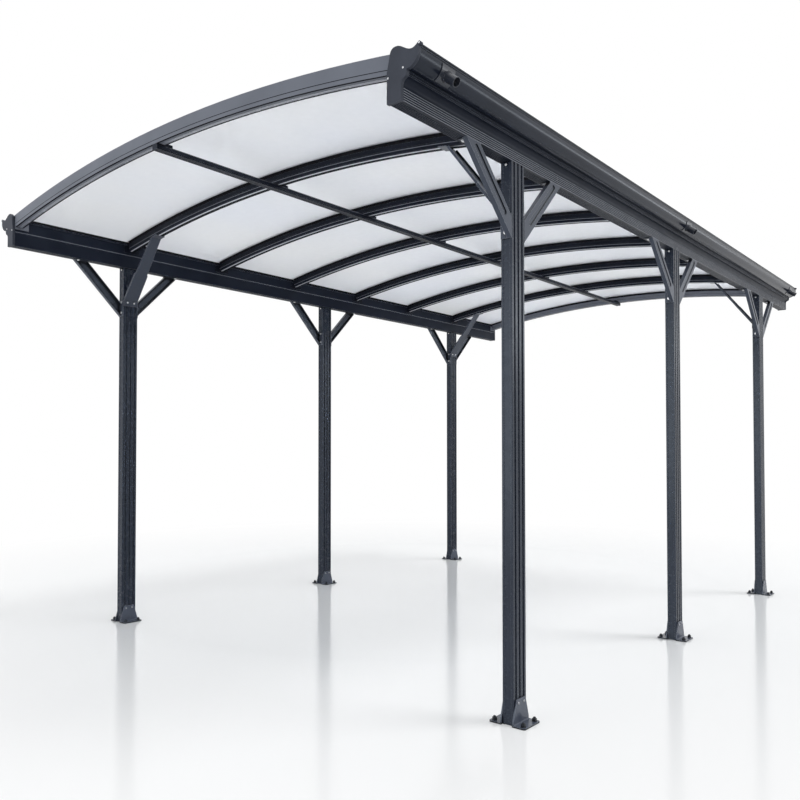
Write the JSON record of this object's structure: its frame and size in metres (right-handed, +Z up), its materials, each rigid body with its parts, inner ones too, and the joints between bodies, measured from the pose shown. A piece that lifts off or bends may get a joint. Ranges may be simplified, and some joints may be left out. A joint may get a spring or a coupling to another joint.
{
  "type": "carport",
  "caption": "Open carport with an arched translucent roof on curved rafters, carried by side beams with gutters on braced posts with bolt-down feet.",
  "frame": {"origin": "on the floor, under the middle of the roof", "axes": "+X to the right across the carport seen from the front, +Y along its length towards the rear, +Z up"},
  "size_m": [3.1046, 4.959, 2.507],
  "materials": {
    "post_coating": "satin",
    "bracket_coating": "satin",
    "brace_coating": "satin",
    "beam_coating": "satin",
    "gutter_coating": "satin",
    "outlet_plastic": "matte",
    "cap_plastic": "matte",
    "fascia_coating": "satin",
    "rafter_coating": "satin",
    "purlin_coating": "satin",
    "roof_sheet": "translucent",
    "fastener_steel": "satin",
    "gasket_rubber": "matte"
  },
  "bodies": {
    "root": {"post_front_left": "post_coating", "post_front_right": "post_coating", "post_middle_left": "post_coating", "post_middle_right": "post_coating", "post_rear_left": "post_coating", "post_rear_right": "post_coating", "feet_front_left": "bracket_coating", "feet_front_right": "bracket_coating", "feet_middle_left": "bracket_coating", "feet_middle_right": "bracket_coating", "feet_rear_left": "bracket_coating", "feet_rear_right": "bracket_coating", "side_braces_front_left": "brace_coating", "side_braces_front_right": "brace_coating", "side_braces_middle_left": "brace_coating", "side_braces_middle_right": "brace_coating", "side_braces_rear_left": "brace_coating", "side_braces_rear_right": "brace_coating", "cross_braces_front": "brace_coating", "cross_braces_rear": "brace_coating", "beam_left": "beam_coating", "beam_right": "beam_coating", "gutter_left": "gutter_coating", "gutter_right": "gutter_coating", "end_caps_front": "cap_plastic", "end_caps_rear": "cap_plastic", "gutter_outlets_left": "outlet_plastic", "gutter_outlets_right": "outlet_plastic", "rafter_front": "fascia_coating", "rafter_2": "rafter_coating", "rafter_3": "rafter_coating", "rafter_4": "rafter_coating", "rafter_5": "rafter_coating", "rafter_6": "rafter_coating", "rafter_7": "rafter_coating", "rafter_rear": "fascia_coating", "roof_sheet_1": "roof_sheet", "roof_sheet_2": "roof_sheet", "roof_sheet_3": "roof_sheet", "roof_sheet_4": "roof_sheet", "roof_sheet_5": "roof_sheet", "roof_sheet_6": "roof_sheet", "roof_sheet_7": "roof_sheet", "purlin": "purlin_coating"}
  },
  "joints": []
}
